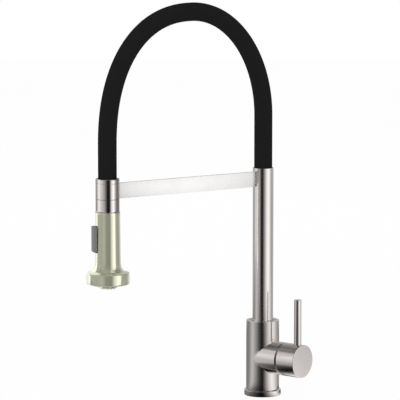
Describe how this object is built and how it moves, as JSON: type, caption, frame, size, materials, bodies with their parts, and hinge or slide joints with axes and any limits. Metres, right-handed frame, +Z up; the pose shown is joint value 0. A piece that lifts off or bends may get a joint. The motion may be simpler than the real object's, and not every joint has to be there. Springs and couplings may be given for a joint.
{
  "type": "pull-down kitchen faucet",
  "caption": "Tall single-lever kitchen mixer with a black silicone hose arch and a pull-down spray head that docks in a collar on a flat arm.",
  "frame": {"origin": "centre of the base ring's underside, on the worktop", "axes": "+Z up along the column; the spout reaches along -Y; the lever is on the +X side, turned 16.4 degrees towards +Y"},
  "size_m": [0.0999, 0.3169, 0.6255],
  "materials": {
    "nickel": "satin brushed nickel",
    "champagne": "polished champagne nickel",
    "steel": "plain stainless steel",
    "brass": "machined brass",
    "magnet": "plated ring magnet",
    "silicone": "matte black silicone",
    "rubber": "black rubber",
    "grey_plastic": "matte grey",
    "white_plastic": "moulded plastic",
    "ceramic": "lapped ceramic",
    "braid": "braided hose"
  },
  "bodies": {
    "base": {"base_ring": "nickel", "deck_gasket": "rubber", "mounting_shank": "brass", "deck_washer": "rubber", "clamp_washer": "steel", "mounting_nut": "brass", "jack_screw_left": "steel", "jack_screw_right": "steel", "faucet_body": "nickel", "hot_inlet_tail": "steel", "cold_inlet_tail": "steel", "outlet_tail": "steel", "cartridge_base": "white_plastic", "hot_port_seal": "rubber", "cold_port_seal": "rubber", "fixed_disc": "ceramic", "cartridge_housing": "white_plastic", "cartridge_nut": "brass", "dome_cover": "nickel", "friction_ring": "rubber", "column_bush": "white_plastic", "gland_nut": "nickel"},
    "spout": {"swivel_foot": "brass", "column_tube": "nickel", "hose_bush": "white_plastic", "silicone_hose": "silicone", "arch_spring": "steel", "pull_hose": "braid", "dock_arm": "nickel", "dock_collar": "nickel", "collar_ferrule": "nickel", "dock_magnet": "magnet"},
    "temperature_control": {"cartridge_rotor": "grey_plastic", "stem_pin": "steel"},
    "mixing_disc": {"sliding_disc": "ceramic", "disc_carrier": "white_plastic"},
    "handle": {"cartridge_stem": "steel", "handle_cap": "nickel", "pin_lever": "nickel", "handle_grub_screw": "steel"},
    "hose_end": {"hose_lead": "braid", "connector_ring": "nickel", "strike_ring": "steel", "hose_crimp": "steel"},
    "spray_head": {"spray_shell": "champagne", "swivel_retainer": "brass", "inlet_seal": "rubber", "waterway_core": "white_plastic", "rocker_pin": "steel", "face_plate": "champagne", "nozzle_dome": "champagne", "nozzle_mat": "rubber", "aerator": "grey_plastic"},
    "rocker": {"mode_rocker": "grey_plastic"},
    "diverter": {"diverter_spool": "white_plastic"}
  },
  "joints": [
    {"name": "spout_swivel", "type": "hinge", "parent": "base", "child": "spout", "pos_m": [0, 0, 0.1024], "axis": [0, 0, 1], "continuous": true},
    {"name": "temperature_turn", "type": "hinge", "parent": "base", "child": "temperature_control", "pos_m": [0.0213, 0.00627, 0.0528], "axis": [0.9593, 0.2823, 0], "range_deg": [-45, 45]},
    {"name": "lever_tilt", "type": "hinge", "parent": "temperature_control", "child": "handle", "pos_m": [0.0213, 0.00627, 0.0528], "axis": [-0.2823, 0.9593, 0], "range_deg": [0, 20]},
    {"name": "disc_slide", "type": "slide", "parent": "temperature_control", "child": "mixing_disc", "axis": [0, 0, 1], "range_m": [0, 0.0018]},
    {"name": "pull_down", "type": "slide", "parent": "spout", "child": "hose_end", "axis": [0, 0, -1], "range_m": [0, 0.15], "deforming": ["hose_lead"]},
    {"name": "head_swivel", "type": "hinge", "parent": "hose_end", "child": "spray_head", "pos_m": [0, -0.248, 0.261], "axis": [0, 0, 1], "continuous": true},
    {"name": "rocker_tilt", "type": "hinge", "parent": "spray_head", "child": "rocker", "pos_m": [-0.00359, -0.25787, 0.23335], "axis": [0.9397, -0.342, 0], "range_deg": [-6, 6]},
    {"name": "diverter_slide", "type": "slide", "parent": "spray_head", "child": "diverter", "axis": [0, 0, 1], "range_m": [-0.0009, 0.0009]}
  ],
  "couplings": [
    {"joint": "disc_slide", "follows": "lever_tilt", "m_per_rad": 0.0048},
    {"joint": "diverter_slide", "follows": "rocker_tilt", "m_per_rad": 0.0079}
  ]
}
